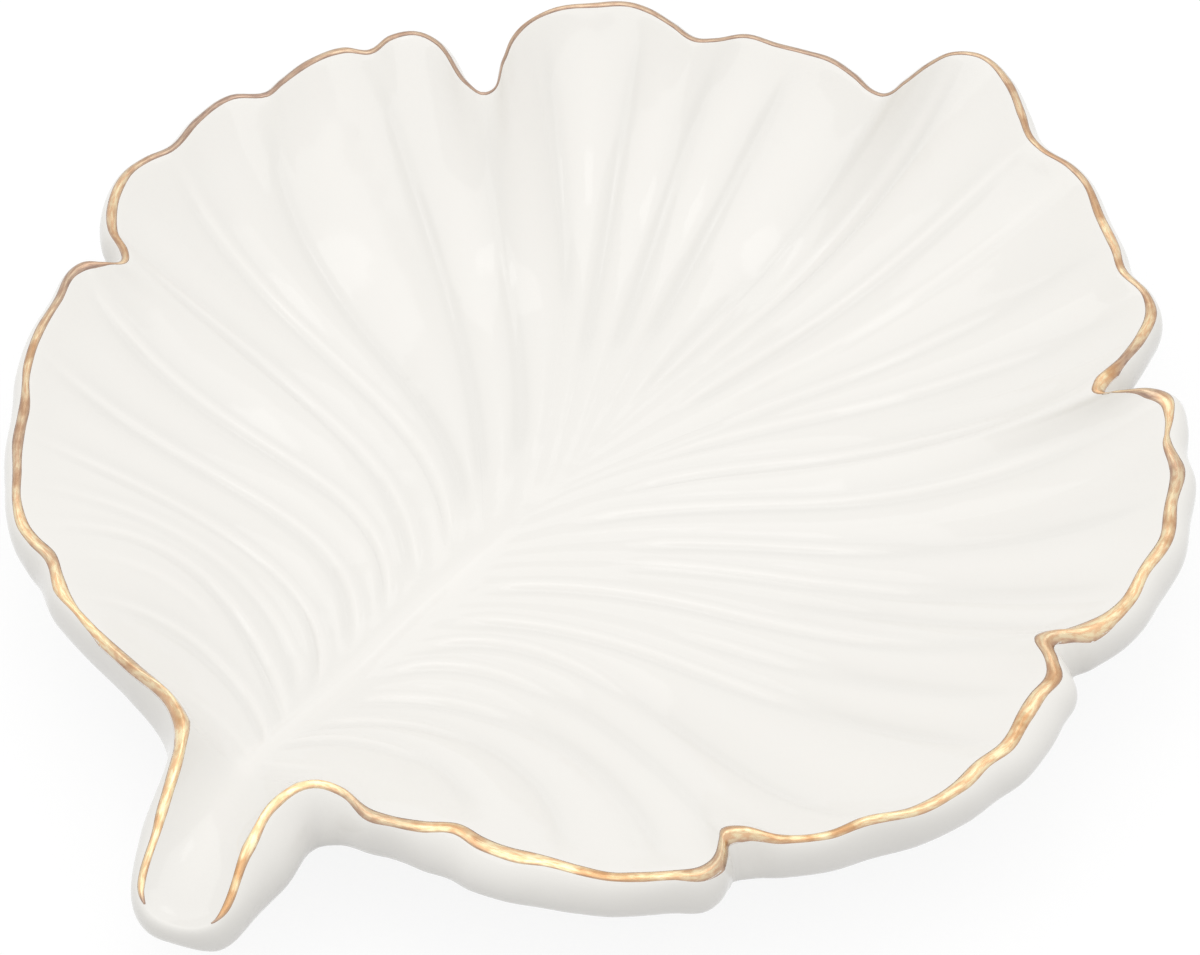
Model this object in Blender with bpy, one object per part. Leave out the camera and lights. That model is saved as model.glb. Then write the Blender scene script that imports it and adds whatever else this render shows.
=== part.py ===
"""Leaf soap dish: a glazed porcelain casting with a gilt line on its rim and a bare foot ring under it.

Metres, +Z up. The dish stands on z = 0, +Y runs from its stem to its tip, and the origin is under the
middle of its outline. The leaf is drawn in plan as vein pairs: each pair leaves the midrib at one root and
ends on the rim, left and right, and the casting's skin is a grid rolled along those veins, over the rim's
rounded edge and back underneath to the foot.
"""
import math

import bmesh
import bpy
import numpy as np
from mathutils import Vector
from mathutils.geometry import interpolate_bezier

# Leaf blade, along the crest of its rim
BLADE_WIDTH = 0.1295
BLADE_LENGTH = 0.1345
BOWL_DEPTH = 0.0105
SLOPE_WIDTH = 0.038
SLOPE_EASING = 0.019
FLOOR_THICKNESS = 0.0055

# Rounded edge outside the crest
EDGE_BULGE = 0.0018
EDGE_HEIGHT = 0.0064
EDGE_EASING = 0.0042
NOTCH_FILL = 0.005

# The edge is fuller on the right and leaner beside the stem: how many times EDGE_BULGE it bulges at places
# counted in vein pairs, where -3 is the stem's tip, -2 its shoulder, -1 its neck and 0 the first pair
RIGHT_FULLNESS = (
    (-3, 1.0), (-2, 0.7), (-1, 0.55), (1.3, 0.7), (1.9, 1.9), (2.5, 1.9), (3.5, 1.3), (4.2, 1.0), (5.5, 1.0),
    (6.2, 0.75), (7.3, 2.0), (8.3, 1.4), (10, 1.55), (11, 0.9), (12, 1.0),
)
LEFT_FULLNESS = (
    (-3, 1.0), (-1, 1.2), (0, 0.5), (1.2, 0.4), (1.7, 0.6), (2.2, 0.9), (3, 0.8), (4, 1.0),
)

# Stem, from the blade's base to its own rounded tip
STEM_LENGTH = 0.0185
STEM_WIDTH = 0.0092
NECK_WIDTH = 0.0114
TIP_ROUNDING = 0.0019
TIP_INSET = 0.004
STEM_LEAN = math.radians(18.5)
STEM_DROP = 0.005
SIDE_BELLY = 0.002
TIP_BELLY = -0.003
SPOUT_LENGTH = 0.045
SPOUT_DEPTH = 0.0008

# Relief of the bowl
PLEAT_HEIGHT = 0.0007
PLEAT_PITCH = 0.004
CREASE_DEPTH = 0.0005
RIB_HEIGHT = 0.0006
PLEAT_RISE = 0.009
PLEAT_FALL = 0.009

# Gilt line on the crest, which keeps to this share of a thin edge's bulge
GILT_WIDTH = 0.0015
GILT_THICKNESS = 0.0003
GILT_SHARE = 0.6
SEAT_GAP = 0.0003

# Foot ring and the flat base that it carries
FOOT_INSET = 0.026
FOOT_WIDTH = 0.0045
FOOT_HEIGHT = 0.002
FOOT_BEVEL = 0.0006
BASE_MARGIN = 0.0015
BASE_EASING = 0.0084
LEAST_TURN = 0.5

# Fineness of the facets
CURVE_STEPS = 12
STEPS_PER_PLEAT = 3
TIP_STEPS = 4
STEM_STEPS = 4
BASE_STEPS = 5
FOOT_STEPS = 48
VEIN_ROWS = (0.0, 0.06, 0.14, 0.23, 0.33, 0.43, 0.53, 0.63, 0.73, 0.82, 0.9, 0.96, 1.0)
EDGE_ROWS = (50, 10, -30, -62)
UNDER_ROWS = (0.36, 0.7, 1.0)

# The midrib in plan, in millimetres of the leaf's drawing, from the blade's base to the last root
MIDRIB = (
    (-0.5, -56), (-2.2, -51), (-2.9, -44), (-3, -30), (-2.6, -18), (-2, -8), (-1.3, 2), (-1, 8), (-0.95, 14),
)

# Vein pairs from the stem to the tip: where the pair leaves the midrib, and its pleats from the last pair
ROOTS = (
    (-54, 1), (-51.5, 1), (-48.5, 2), (-44.5, 2), (-40, 2), (-33.5, 2), (-28, 2), (-22, 2), (-16, 2),
    (-12, 2), (-9, 3), (-5, 2), (-1, 2), (2, 2), (5, 2), (7, 2), (9.5, 2), (12, 2),
)

# One side's veins in the same order: two points that the vein runs through, and then the rim's points from
# the last vein's end to its own
RIGHT_VEINS = (
    ((1.8, -53.6), (5, -54), ((7.2, -58.5), (8, -55.3))),
    ((3, -49), (9.5, -49.3), ((9.5, -53.9), (12, -53.4), (16, -53.8))),
    ((5.5, -40.5), (17, -41.5), ((18.5, -53.2), (21.5, -52), (24.5, -50.2))),
    ((9, -34.3), (23.7, -36.5), ((28, -50.3), (31.5, -49.7), (35, -48.3))),
    ((12, -29), (30, -31.5), ((38.5, -47.3), (41.5, -46.2), (44, -44.5))),
    ((12, -22), (31.5, -25), ((46.3, -42.5), (48.3, -40.5), (48.8, -38.5), (48.2, -36), (48.2, -34.3))),
    ((16, -16.5), (38, -20), ((49.5, -32.8), (53.5, -31.4), (57.2, -28.2), (59.5, -24))),
    ((18, -11.2), (42, -8.3), ((63, -20), (65, -14.5), (65.3, -10.5), (66.1, -7))),
    ((17, -3.5), (39, 3), ((65.5, -2.5), (65.1, 1), (65.1, 4.3), (63.3, 6.4), (61.4, 8.3))),
    ((18, 2), (42, 12), ((62, 9.9), (64, 11.7), (65.5, 14.8), (65.9, 18.5))),
    ((16.5, 8.5), (39, 24), ((65.1, 23), (64.6, 28.7), (62.3, 33.5), (60.3, 38.3), (57, 41.3))),
    ((11, 13.5), (28, 28.5), ((55.3, 44.8), (53.6, 47), (51.4, 46.9), (48.6, 44.8), (46.8, 43.5))),
    ((11, 20), (29, 38), ((46, 45.3), (46.2, 50), (46, 54))),
    ((10, 24), (23.5, 44.5), ((45, 58), (42.8, 60.2), (38.8, 61.8))),
    ((8, 27.5), (17.5, 50), ((36, 64.7), (32, 68), (27.5, 72))),
    ((5, 29.5), (11, 52), ((24.5, 73.3), (20.5, 73.8), (18, 74.9))),
    ((2.2, 33), (5, 58), ((15, 77.8), (10.5, 81.7), (5.7, 83.5))),
    ((-0.7, 31.7), (-0.3, 51.3), ((2.8, 82), (1.6, 79), (0.9, 74.5), (0.1, 71.1))),
)
LEFT_VEINS = (
    ((-4, -53.4), (-6.4, -53.6), ((-7, -56.2), (-9, -54.2))),
    ((-7, -48.8), (-12.5, -48.8), ((-12, -52.6), (-18, -51.8))),
    ((-10, -43), (-20, -42.3), ((-23, -50.6), (-28.5, -48.8))),
    ((-14, -36), (-27.5, -33.2), ((-31, -47.7), (-35, -44.6), (-38, -43.8))),
    ((-15.3, -26.8), (-32, -26), ((-40.5, -42.7), (-43.5, -40), (-46, -36.8), (-49, -33))),
    ((-18, -20), (-36.5, -20), ((-52, -28), (-55.5, -23.2))),
    ((-19, -12.8), (-39, -12.8), ((-58, -18), (-59.5, -12.5), (-60.9, -8.3))),
    ((-18.5, -7.2), (-38, -2.4), ((-60.5, -6.3), (-58.8, -5.1), (-57.1, -3.6))),
    ((-20, 0), (-43, 5), ((-58.2, -2), (-61.5, 0), (-64.7, 4.3), (-66, 8.5))),
    ((-20, 5), (-41.5, 14.5), ((-65.5, 11.8), (-64.3, 14.8), (-64.8, 20.5), (-64, 25.8), (-60.8, 28.7))),
    ((-18, 11), (-36, 27.5), ((-60.6, 31.5), (-60, 36.3), (-58, 40.3), (-55.2, 41.8))),
    ((-13.5, 14.5), (-26.5, 29.5),
     ((-54.7, 45.3), (-52.8, 47.6), (-50, 47.8), (-42.3, 43.9), (-39.4, 43.9))),
    ((-14, 23), (-28, 42), ((-41.3, 50.3), (-42.6, 54), (-42.7, 57))),
    ((-11.5, 25), (-22.5, 46.5), ((-41.2, 61.2), (-38, 64.2), (-34.7, 66.7), (-32, 67.2))),
    ((-9, 26.5), (-17.5, 47), ((-28, 66.7), (-24.2, 66.1))),
    ((-7, 28), (-12.5, 49.5), ((-22.2, 67.4), (-19.5, 70.2), (-15.5, 71))),
    ((-4.2, 30.5), (-7.5, 51.5), ((-12, 71.9), (-9, 72.5))),
    ((-0.7, 31.7), (-0.3, 51.3), ((-5, 71.8), (-1.4, 70.7), (0.1, 71.1))),
)


def blade_map():
    """How the drawing's millimetres become metres: a scale and a middle for each of x and y."""
    rim = np.array([point for side in (LEFT_VEINS, RIGHT_VEINS) for vein in side for point in vein[2]])
    base = min(RIGHT_VEINS[1][2][-1][1], LEFT_VEINS[1][2][-1][1])
    blade = rim[rim[:, 1] >= base]
    low, high = blade.min(axis=0), blade.max(axis=0)
    return np.array([BLADE_WIDTH, BLADE_LENGTH]) / (high - low), (low + high) / 2


SCALE, MIDDLE = blade_map()


def placed(points):
    """Points of the drawing, in metres from the blade's middle."""
    return (np.array(points, dtype=float) - MIDDLE) * SCALE


def ease(x):
    """A smooth step from 0 to 1."""
    x = np.clip(x, 0.0, 1.0)
    return x * x * (3 - 2 * x)


def curve_through(points, closed):
    """A smooth curve through the points, and each point's place in it."""
    points = [Vector((x, y)) for x, y in points]
    count = len(points)
    ways = []
    for i, here in enumerate(points):
        before = points[i - 1] if closed or i else here - (points[1] - here)
        after = points[(i + 1) % count] if closed or i < count - 1 else here + (here - before)
        ways.append(((here - before).normalized() + (after - here).normalized()).normalized())
    path, places = [], []
    for i in range(count if closed else count - 1):
        j = (i + 1) % count
        reach = (points[j] - points[i]).length / 3
        leaving = points[i] + ways[i] * reach
        coming = points[j] - ways[j] * reach
        places.append(len(path))
        path += interpolate_bezier(points[i], leaving, coming, points[j], CURVE_STEPS + 1)[:-1]
    places.append(len(path))
    path.append(points[0] if closed else points[-1])
    return np.array(path), places


def along(path, count):
    """Points at equal steps along a path, both ends included."""
    reach = np.concatenate(([0.0], np.cumsum(np.linalg.norm(np.diff(path, axis=0), axis=1))))
    wanted = np.linspace(0.0, reach[-1], count + 1)
    return np.stack([np.interp(wanted, reach, path[:, k]) for k in (0, 1)], axis=1)


def stem_point(reach, side):
    """A point on the stem, reach metres from the blade's base and side metres to the right of its middle."""
    base = placed([MIDRIB[0]])[0]
    way = np.array([math.sin(STEM_LEAN), -math.cos(STEM_LEAN)])
    return base + way * reach + np.array([-way[1], way[0]]) * side


STEM_TIP = stem_point(STEM_LENGTH, 0.0)
STEM_SHOULDER = STEM_LENGTH - TIP_ROUNDING
SECTION_STEPS = [TIP_STEPS, STEM_STEPS, BASE_STEPS] + [STEPS_PER_PLEAT * pleats for _, pleats in ROOTS[1:]]
SIDE_STEPS = sum(SECTION_STEPS)


def side_plan(veins, sign):
    """One side's rim points and the two points of each vein, from the stem's tip to the leaf's."""
    points = []
    for angle in (0.0, math.radians(40), math.radians(90)):
        reach = STEM_SHOULDER + TIP_ROUNDING * math.cos(angle)
        points.append(stem_point(reach, sign * STEM_WIDTH / 2 * math.sin(angle)))
    points.append(stem_point(STEM_LENGTH / 2, sign * NECK_WIDTH / 2))
    ends = [0, 2, 3]
    for vein in veins:
        points += list(placed(vein[2]))
        ends.append(len(points) - 1)
    return points, ends


def leaf_plan():
    """Roots, vein points and rim points of every column, anticlockwise from the stem's tip."""
    right, right_ends = side_plan(RIGHT_VEINS, 1.0)
    left, left_ends = side_plan(LEFT_VEINS, -1.0)
    outline = right + left[-2:0:-1]
    path, places = curve_through(outline, closed=True)
    knots = [places[i] for i in right_ends]
    knots += [places[len(outline) - i] for i in left_ends[-2::-1]]
    steps = SECTION_STEPS + SECTION_STEPS[::-1]
    rim = np.concatenate([along(path[a:b + 1], n)[:-1] for a, b, n in zip(knots, knots[1:], steps)])

    marks = np.concatenate(([0], np.cumsum(SECTION_STEPS)))
    columns = np.arange(SIDE_STEPS + 1)
    blade_roots = placed([(0.0, y) for y, _ in ROOTS])[:, 1]
    stem_reach = (STEM_LENGTH - TIP_INSET, STEM_LENGTH - 1.2 * TIP_INSET, 0.4 * STEM_LENGTH)
    stem_roots = [stem_point(reach, 0.0)[1] for reach in stem_reach]
    root_y = np.interp(columns, marks, np.concatenate((stem_roots, blade_roots)))
    rib, _ = curve_through([STEM_TIP, stem_point(STEM_LENGTH / 2, 0.0)] + list(placed(MIDRIB)), closed=False)
    root = np.stack([np.interp(root_y, rib[:, 1], rib[:, 0]), root_y], axis=1)
    root = np.concatenate([root, root[-2:0:-1]])

    first = np.empty_like(rim)
    second = np.empty_like(rim)
    for veins, side in ((RIGHT_VEINS, columns), (LEFT_VEINS, -columns)):
        for third, passing in ((0, first), (1, second)):
            stem = side[marks[:3]]
            stem_part = root[stem] + (rim[stem] - root[stem]) * (third + 1) / 3
            guide = np.concatenate([stem_part, placed([vein[third] for vein in veins])])
            for axis in (0, 1):
                passing[side, axis] = np.interp(columns, marks, guide[:, axis])
    return root, first, second, rim


ROOT, FIRST, SECOND, RIM = leaf_plan()
COLUMNS = len(RIM)


def spread(values, width):
    """Values round the rim, each averaged with its neighbours within about width metres."""
    step = np.linalg.norm(RIM - np.roll(RIM, 1, axis=0), axis=1)
    place = np.cumsum(step)
    whole = place[-1]
    away = np.abs(place[:, None] - place[None, :])
    away = np.minimum(away, whole - away)
    weight = np.exp(-0.5 * (away / width) ** 2) * (step + np.roll(step, -1))[None, :]
    return (weight @ values) / weight.sum(axis=1).reshape((-1,) + (1,) * (values.ndim - 1))


def ways_out():
    """The way out of the leaf at each column, and the share of the bulge left where the rim turns."""
    way = np.roll(RIM, -1, axis=0) - np.roll(RIM, 1, axis=0)
    way /= np.linalg.norm(way, axis=1)[:, None]
    way = spread(np.stack([way[:, 1], -way[:, 0]], axis=1), EDGE_EASING)
    share = np.linalg.norm(way, axis=1)
    return way / share[:, None], share


OUTWARD, SHARE = ways_out()


def edge_bulge():
    """How far the edge bulges at each column."""
    marks = np.concatenate(([0], np.cumsum(SECTION_STEPS)))
    place = np.interp(np.arange(SIDE_STEPS + 1), marks, np.arange(len(marks)) - 3)
    right, left = (np.interp(place, *zip(*fullness)) for fullness in (RIGHT_FULLNESS, LEFT_FULLNESS))
    return EDGE_BULGE * SHARE * spread(np.concatenate([right, left[-2:0:-1]]), EDGE_EASING / 2)


def notch_web():
    """How far the clay under the edge stands past the rim, as it runs on across a notch or a fillet."""
    fill = ((spread(RIM, NOTCH_FILL) - RIM) * OUTWARD).sum(axis=1)
    return spread(np.clip(fill, 0.0, None), EDGE_EASING)


def stem_belly():
    """How much deeper the edge is at each column: more on the stem's sides and less at its tip."""
    column = np.minimum(np.arange(COLUMNS), COLUMNS - np.arange(COLUMNS))
    marks = np.cumsum(SECTION_STEPS[:4])
    half_way = (TIP_BELLY + SIDE_BELLY) / 2
    belly = np.interp(column, (0, *marks), (TIP_BELLY, half_way, SIDE_BELLY, SIDE_BELLY, 0.0))
    return spread(belly, EDGE_EASING / 2)


BULGE = edge_bulge()
WEB = notch_web()
BELLY = stem_belly()
BASE_Z = FOOT_HEIGHT
CREST_Z = FOOT_HEIGHT + FLOOR_THICKNESS + BOWL_DEPTH


def stem_fall(points):
    """How far the rim has dropped at points of the plan: nothing on the blade, most at the stem's tip."""
    base = placed([MIDRIB[0]])[0]
    way = np.array([math.sin(STEM_LEAN), -math.cos(STEM_LEAN)])
    reach = (points - base) @ way / STEM_LENGTH
    return STEM_DROP * np.clip(reach, 0.0, None) ** 1.5


def crest_heights():
    """The crest's height above the table at each column."""
    column = np.arange(COLUMNS)
    on_stem = np.minimum(column, COLUMNS - column) <= TIP_STEPS + STEM_STEPS + BASE_STEPS
    return CREST_Z - spread(np.where(on_stem, stem_fall(RIM), 0.0), EDGE_EASING / 2)


CREST = crest_heights()


def root_heights():
    """The midrib's height at each column: it leaves the stem's tip and runs down into the bowl."""
    reach = np.linalg.norm(ROOT - STEM_TIP, axis=1)
    depth = SPOUT_DEPTH + (BOWL_DEPTH - SPOUT_DEPTH) * ease(reach / SPOUT_LENGTH)
    return CREST_Z - depth - stem_fall(ROOT)


def pleat_phase():
    """Each column's place in the pleats, counted from the first vein, and whether it is a named vein."""
    marks = np.concatenate(([0], np.cumsum(SECTION_STEPS)))[3:]
    pleats = np.concatenate(([0.0], np.cumsum([pleats for _, pleats in ROOTS[1:]])))
    side = np.interp(np.arange(SIDE_STEPS + 1), marks, pleats)
    named = np.isin(np.arange(SIDE_STEPS + 1), marks)
    return np.concatenate([side, side[-2:0:-1]]), np.concatenate([named, named[-2:0:-1]])


def upper_skin():
    """Rows of the bowl from the midrib to the crest, as an array of rows by columns by x, y, z."""
    t = np.array(VEIN_ROWS)[:, None, None]
    plan = (-4.5 * (t - 1 / 3) * (t - 2 / 3) * (t - 1) * ROOT + 13.5 * t * (t - 2 / 3) * (t - 1) * FIRST
            - 13.5 * t * (t - 1 / 3) * (t - 1) * SECOND + 4.5 * t * (t - 1 / 3) * (t - 2 / 3) * RIM)
    length = np.linalg.norm(np.diff(plan, axis=0), axis=2).sum(axis=0)
    smooth_length = spread(length, SLOPE_EASING)
    slope = np.minimum(SLOPE_WIDTH, smooth_length)
    left = 1 - np.clip((1 - t[:, :, 0]) * smooth_length / slope, 0.0, 1.0)
    height = CREST + (root_heights() - CREST) * (1 - left ** 2)

    phase, named = pleat_phase()
    from_root = t[:, :, 0] * length
    from_rim = (1 - t[:, :, 0]) * length
    beside = np.roll(plan, -1, axis=1) - np.roll(plan, 1, axis=1)
    pitch = np.linalg.norm(beside, axis=2) / 2 * STEPS_PER_PLEAT
    strength = ease(from_root / PLEAT_RISE) * ease(from_rim / PLEAT_FALL) * ease(pitch / PLEAT_PITCH)
    height += strength * (PLEAT_HEIGHT * np.abs(np.sin(math.pi * phase)) - CREASE_DEPTH * named)
    low, high = placed([MIDRIB[1], MIDRIB[5]])[:, 1]
    rib = ease((ROOT[:, 1] - low) / PLEAT_RISE + 0.5) * ease((high - ROOT[:, 1]) / PLEAT_RISE + 0.5)
    height[0] += RIB_HEIGHT * rib
    return np.concatenate([plan, height[:, :, None]], axis=2)


def edge_row(angle):
    """The rounded edge at one angle: 90 degrees is the crest, 0 the outermost line, -90 its underside."""
    down = (1 - math.sin(angle)) / 2
    reach = BULGE * math.cos(angle) + WEB * down
    plan = RIM + OUTWARD * reach[:, None]
    height = CREST - (EDGE_HEIGHT + BELLY) * down
    return np.concatenate([plan, height[:, None]], axis=1)


def foot_size(margin):
    """Half the width and half the length of an oval that runs margin outside the foot ring's middle line."""
    return BLADE_WIDTH / 2 - FOOT_INSET + margin, BLADE_LENGTH / 2 - FOOT_INSET + margin


def lower_skin(lowest_edge):
    """Rows from the edge's underside in to the flat base, whose outline is an oval."""
    even = 2 * math.pi / COLUMNS
    angle = np.unwrap(np.arctan2(RIM[:, 1], RIM[:, 0]))
    turn = np.maximum(np.diff(angle, append=angle[0] + 2 * math.pi), LEAST_TURN * even)
    turn *= 2 * math.pi / turn.sum()
    off_even = angle[0] + np.concatenate(([0.0], np.cumsum(turn - even)[:-1]))
    angle = spread(off_even, BASE_EASING) + even * np.arange(COLUMNS)
    half_x, half_y = foot_size(FOOT_WIDTH / 2 + BASE_MARGIN)
    oval = np.stack([half_x * np.cos(angle), half_y * np.sin(angle), np.full(COLUMNS, BASE_Z)], axis=1)
    rows = []
    for share in UNDER_ROWS:
        row = lowest_edge + (oval - lowest_edge) * share
        row[:, 2] = lowest_edge[:, 2] + (BASE_Z - lowest_edge[:, 2]) * math.sin(share * math.pi / 2)
        rows.append(row)
    return np.array(rows)


def body_skin():
    """Every row of the casting's skin, from the midrib over the edge to the base."""
    edge = np.array([edge_row(math.radians(angle)) for angle in EDGE_ROWS])
    return np.concatenate([upper_skin(), edge, lower_skin(edge[-1])])


def rolled_grid(rows):
    """A mesh made from a flat grid: one grid line for each row, closed round the last side of the grid."""
    across, around = rows.shape[0] - 1, rows.shape[1] - 1
    mesh = bmesh.new()
    bmesh.ops.create_grid(mesh, x_segments=across, y_segments=around, size=0.5)
    for vertex in mesh.verts:
        row = round((vertex.co.x + 0.5) * across)
        column = round((vertex.co.y + 0.5) * around)
        vertex.co = rows[row, column]
    bmesh.ops.remove_doubles(mesh, verts=mesh.verts, dist=1e-7)
    return mesh


def finished(name, mesh, material, sharp_angle):
    """The object of a closed mesh, its open ends filled and its faces turned out."""
    bmesh.ops.holes_fill(mesh, edges=[edge for edge in mesh.edges if edge.is_boundary], sides=0)
    bmesh.ops.triangulate(mesh, faces=mesh.faces, quad_method="SHORT_EDGE")
    bmesh.ops.recalc_face_normals(mesh, faces=mesh.faces)
    data = bpy.data.meshes.new(name)
    mesh.to_mesh(data)
    mesh.free()
    data.shade_smooth()
    data.set_sharp_from_angle(angle=math.radians(sharp_angle))
    data.materials.append(material)
    part = bpy.data.objects.new(name, data)
    bpy.context.collection.objects.link(part)
    return part


def finish_of(name, colour, roughness, metallic, coat=0.0):
    """A plain surface finish."""
    material = bpy.data.materials.new(name)
    material.use_nodes = True
    shader = material.node_tree.nodes["Principled BSDF"]
    shader.inputs["Base Color"].default_value = (*colour, 1.0)
    shader.inputs["Roughness"].default_value = roughness
    shader.inputs["Metallic"].default_value = metallic
    shader.inputs["Coat Weight"].default_value = coat
    return material


def dish_body():
    """The glazed casting: bowl, rounded edge, stem and flat base in one."""
    rows = body_skin()
    rows = np.concatenate([rows, rows[:, :1]], axis=1)
    glaze = finish_of("white_glaze", (0.86, 0.86, 0.83), 0.12, 0.0, coat=0.5)
    return finished("dish_body", rolled_grid(rows), glaze, 60)


def gilt_rim():
    """The gilt line: an open band along the crest, from one side of the stem's tip round to the other."""
    inner = GILT_WIDTH / 2 * SHARE
    inner_drop = inner * 2 * BOWL_DEPTH / SLOPE_WIDTH
    outer = np.minimum(inner, GILT_SHARE * BULGE)
    down = (1 - np.sqrt(1 - (outer / BULGE) ** 2)) / 2
    outer_drop = (EDGE_HEIGHT + BELLY) * down
    lines = ((-inner, inner_drop), (0 * inner, 0 * inner), (outer + WEB * down, outer_drop))
    columns = np.arange(TIP_STEPS, COLUMNS - TIP_STEPS + 1)
    rows = []
    for rise, in_order in ((SEAT_GAP, lines), (SEAT_GAP + GILT_THICKNESS, lines[::-1])):
        for side, drop in in_order:
            plan = RIM + OUTWARD * side[:, None]
            rows.append(np.concatenate([plan, (CREST - drop + rise)[:, None]], axis=1)[columns])
    rows.append(rows[0])
    gold = finish_of("gilt_lustre", (0.83, 0.62, 0.33), 0.25, 1.0)
    return finished("gilt_rim", rolled_grid(np.array(rows)), gold, 40)


def foot_ring():
    """The unglazed ring that the dish stands on, with a small bevel on each corner."""
    half_x, half_y = foot_size(0.0)
    half, top = FOOT_WIDTH / 2, FOOT_HEIGHT - SEAT_GAP
    sole = half - FOOT_BEVEL
    section = ((sole, 0), (half, FOOT_BEVEL), (half, top), (-half, top), (-half, FOOT_BEVEL), (-sole, 0))
    mesh = bmesh.new()
    corners = [mesh.verts.new((half_x + side, 0.0, height)) for side, height in section]
    edges = [mesh.edges.new((a, b)) for a, b in zip(corners, corners[1:] + corners[:1])]
    bmesh.ops.spin(mesh, geom=corners + edges, cent=(0, 0, 0), axis=(0, 0, 1), angle=2 * math.pi,
                   steps=FOOT_STEPS, use_merge=True)
    for vertex in mesh.verts:
        radius = math.hypot(vertex.co.x, vertex.co.y)
        vertex.co.y *= (half_y + radius - half_x) / radius
    clay = finish_of("bare_clay", (0.78, 0.75, 0.69), 0.85, 0.0)
    return finished("foot_ring", mesh, clay, 40)


def centre(parts):
    """Moves the meshes so that the outline's middle is over the origin."""
    corners = np.array([vertex.co for part in parts for vertex in part.data.vertices])
    middle = (corners.min(axis=0) + corners.max(axis=0)) / 2
    for part in parts:
        for vertex in part.data.vertices:
            vertex.co.x -= middle[0]
            vertex.co.y -= middle[1]


for old in list(bpy.data.objects):
    bpy.data.objects.remove(old)
centre([dish_body(), gilt_rim(), foot_ring()])
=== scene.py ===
import math

import bmesh
import bpy
import numpy as np
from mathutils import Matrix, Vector
from mathutils.geometry import interpolate_bezier


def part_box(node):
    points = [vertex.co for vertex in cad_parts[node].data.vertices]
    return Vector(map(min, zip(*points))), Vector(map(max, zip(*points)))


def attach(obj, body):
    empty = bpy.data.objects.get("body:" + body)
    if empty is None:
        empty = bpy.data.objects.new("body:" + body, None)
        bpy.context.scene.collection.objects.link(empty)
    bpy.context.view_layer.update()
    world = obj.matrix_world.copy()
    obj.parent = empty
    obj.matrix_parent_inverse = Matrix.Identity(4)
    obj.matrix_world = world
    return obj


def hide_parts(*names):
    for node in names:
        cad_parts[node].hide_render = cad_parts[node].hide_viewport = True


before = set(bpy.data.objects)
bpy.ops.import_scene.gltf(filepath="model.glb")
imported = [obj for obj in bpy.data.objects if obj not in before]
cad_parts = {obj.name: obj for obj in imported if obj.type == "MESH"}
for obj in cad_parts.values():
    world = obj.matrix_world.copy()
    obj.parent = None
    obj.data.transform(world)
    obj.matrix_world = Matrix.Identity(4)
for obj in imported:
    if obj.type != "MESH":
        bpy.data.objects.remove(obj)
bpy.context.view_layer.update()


# The dish itself: one slip-cast piece of porcelain under a clear, glossy glaze. Bowl, pressed veins, rounded
# lip, stem and flat base are one skin, drawn in plan as vein pairs that run from the midrib to the rim, and
# made from a flat grid that is rolled along those veins, over the lip and back underneath.
BLADE_WIDTH = 0.1295
BLADE_LENGTH = 0.1345
BOWL_DEPTH = 0.0105
SLOPE_WIDTH = 0.038
SLOPE_EASING = 0.019
LIP_BULGE = 0.0018
LIP_HEIGHT = 0.0064
LIP_EASING = 0.0042
LIP_ROUNDING = 0.0007
NOTCH_FILL = 0.005
WAVE_FILL = 0.0004
FILL_EASING = 0.0015
TIP_FILL = 0.45
TIP_FILL_START = -1.7
TIP_FILL_EASING = 0.6
STEM_LENGTH = 0.0191
TIP_INSET = 0.004
SHOULDER_INSET = 0.0048
NECK_ROOT = 0.4
STEM_LEAN = math.radians(18.5)
STEM_DROP = 0.005
STEM_CURVE = 1.5
SIDE_BELLY = 0.002
TIP_BELLY = -0.0036
SPOUT_LENGTH = 0.045
SPOUT_DEPTH = 0.0005
BASE_MARGIN = 0.0015
BASE_EASING = 0.0084
LEAST_TURN = 0.5
STEM_UNDERCUT = 0.8
UNDERCUT_PLACES = 6.0

FOLD_HEIGHT = 0.0003
FOLD_PITCH = 0.008
FOLD_RISE = 0.012
RELIEF_FALL = 0.011
LINE_HEIGHT = 0.00018
LINE_WIDTH = 0.0006
LEAST_LINE_WIDTH = 0.00025
LINE_SHARE = 0.18
GROOVE_PLACE = 1.9
FAR_GROOVE = 0.3
GROOVE_DEPTH = 0.00013
VALLEY_DEPTH = 0.0002
VALLEY_WIDTH = 0.0008
LINE_RISE = 0.08
LINE_TURN = 0.25
LINE_START_GAP = 0.0012
LINE_FULL_GAP = 0.0024
RIB_HEIGHT = 0.00035
RIB_WIDTH = 0.001
RIB_EASING = 0.006
STEM_RIB = 0.3
STEM_RIB_WIDTH = 0.0018
STEM_RIB_RISE = 0.012
# How the relief paints highlight and shade into the glaze's colour, over its real pooling: the relief height
# that turns it fully light or dark, how much darker the stem is painted, and how much the folds count.
POOL_SHADE_DEPTH = 0.00012
STEM_SHADE = 0.5
FOLD_SHADE_SHARE = 0.3

STEPS_PER_PLEAT = 16
TIP_STEPS = 24
STEM_STEPS = 20
BASE_STEPS = 24
CURVE_STEPS = 24
BOWL_ROWS = 42
EVEN_SHARE = 0.25
LIP_ROWS = 15
LIP_END = -62
UNDER_ROWS = 9
WELD = 3e-6

# The stem's half-width at its shoulder and its neck on each side, and how far back its corner is rounded,
# with a point of the rim at each of the corner's angles.
RIGHT_STEM = (0.0039, 0.0045, 0.0014)
LEFT_STEM = (0.0045, 0.005, 0.0025)
CORNER_ANGLES = (0.0, math.radians(40), math.radians(90))

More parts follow.
